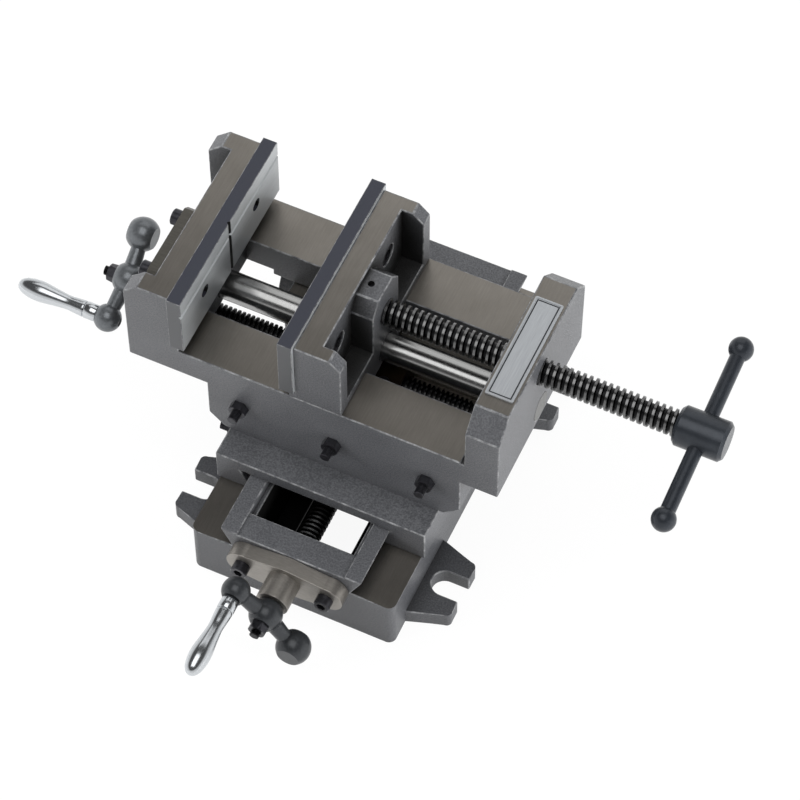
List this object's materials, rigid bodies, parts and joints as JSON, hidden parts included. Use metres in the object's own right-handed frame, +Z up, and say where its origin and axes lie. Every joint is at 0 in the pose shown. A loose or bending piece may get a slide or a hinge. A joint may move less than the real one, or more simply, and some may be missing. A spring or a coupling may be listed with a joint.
{
  "type": "cross slide vise",
  "caption": "Screw vise on two crossed dovetail slides, each moved by a lead screw with a ball crank, on a base with slotted bolt lugs.",
  "frame": {"origin": "centre of the underside of the base casting", "axes": "+Z up, +X towards the tommy bar end, -Y towards the front crank"},
  "size_m": [0.4405, 0.3315, 0.1805],
  "materials": {
    "painted_casting": "dark grey paint, machined ways bare",
    "bracket_casting": "machined",
    "black_oxide_screws": "black oxide",
    "black_oxide_nuts": "black oxide",
    "lead_screw_steel": "black oxide",
    "vise_screw_steel": "black oxide",
    "crank_iron": "satin dark grey",
    "chromed_handle": "bright chrome",
    "spindle_steel": "plain",
    "gib_steel": "ground",
    "nut_bronze": "machined",
    "jaw_steel": "ground",
    "rod_steel": "ground bright",
    "plate_aluminium": "satin",
    "tommy_steel": "dark"
  },
  "bodies": {
    "base": {"base": "painted_casting", "front_bracket": "bracket_casting", "front_bracket_screws": "black_oxide_screws"},
    "front_screw": {"front_lead_screw": "lead_screw_steel", "front_crank": "crank_iron", "front_crank_nut": "black_oxide_nuts", "front_spindle": "spindle_steel"},
    "front_grip": {"front_handle": "chromed_handle"},
    "saddle": {"saddle": "painted_casting", "cross_gib": "gib_steel", "cross_gib_screws": "black_oxide_screws", "cross_gib_nuts": "black_oxide_nuts", "front_nut": "nut_bronze", "front_nut_screws": "black_oxide_screws", "side_nut": "nut_bronze", "side_nut_screws": "black_oxide_screws"},
    "vise_body": {"vise_body": "painted_casting", "slide_gib": "gib_steel", "slide_gib_screws": "black_oxide_screws", "slide_gib_nuts": "black_oxide_nuts", "fixed_jaw_plate": "jaw_steel", "fixed_plate_screws": "black_oxide_screws", "guide_rod": "rod_steel", "side_bracket": "bracket_casting", "side_bracket_screws": "black_oxide_screws", "nameplate": "plate_aluminium"},
    "side_screw": {"side_lead_screw": "lead_screw_steel", "side_crank": "crank_iron", "side_crank_nut": "black_oxide_nuts", "side_spindle": "spindle_steel"},
    "side_grip": {"side_handle": "chromed_handle"},
    "moving_jaw": {"moving_jaw": "painted_casting", "moving_jaw_plate": "jaw_steel", "moving_plate_screws": "black_oxide_screws", "retaining_pin": "spindle_steel"},
    "vise_screw": {"vise_screw": "vise_screw_steel", "screw_head": "vise_screw_steel"},
    "tommy_bar": {"tommy_bar": "tommy_steel", "tommy_bar_balls": "tommy_steel"}
  },
  "joints": [
    {"name": "saddle_slide", "type": "slide", "parent": "base", "child": "saddle", "axis": [0, 1, 0], "range_m": [-0.038, 0.038]},
    {"name": "front_screw_turn", "type": "hinge", "parent": "base", "child": "front_screw", "pos_m": [0, -0.118, 0.041], "axis": [0, 1, 0], "range_deg": [-4580, 4580]},
    {"name": "front_grip_spin", "type": "hinge", "parent": "front_screw", "child": "front_grip", "pos_m": [-0.01671, -0.175, 0.06092], "axis": [0, 1, 0], "continuous": true},
    {"name": "body_slide", "type": "slide", "parent": "saddle", "child": "vise_body", "axis": [1, 0, 0], "range_m": [-0.05, 0.05]},
    {"name": "side_screw_turn", "type": "hinge", "parent": "vise_body", "child": "side_screw", "pos_m": [-0.125, 0, 0.0805], "axis": [1, 0, 0], "range_deg": [-6020, 6020]},
    {"name": "side_grip_spin", "type": "hinge", "parent": "side_screw", "child": "side_grip", "pos_m": [-0.19, -0.02296, 0.06829], "axis": [1, 0, 0], "continuous": true},
    {"name": "jaw_slide", "type": "slide", "parent": "vise_body", "child": "moving_jaw", "axis": [1, 0, 0], "range_m": [-0.06, 0.074]},
    {"name": "vise_screw_turn", "type": "hinge", "parent": "moving_jaw", "child": "vise_screw", "pos_m": [0.1, 0, 0.1525], "axis": [1, 0, 0], "range_deg": [-5410, 6670]},
    {"name": "tommy_bar_slide", "type": "slide", "parent": "vise_screw", "child": "tommy_bar", "axis": [0, 0.9848, 0.1736], "range_m": [-0.035, 0.035]}
  ],
  "couplings": [
    {"joint": "front_screw_turn", "follows": "saddle_slide", "rad_per_m": 2094.4},
    {"joint": "side_screw_turn", "follows": "body_slide", "rad_per_m": 2094.4},
    {"joint": "vise_screw_turn", "follows": "jaw_slide", "rad_per_m": 1570.8}
  ]
}
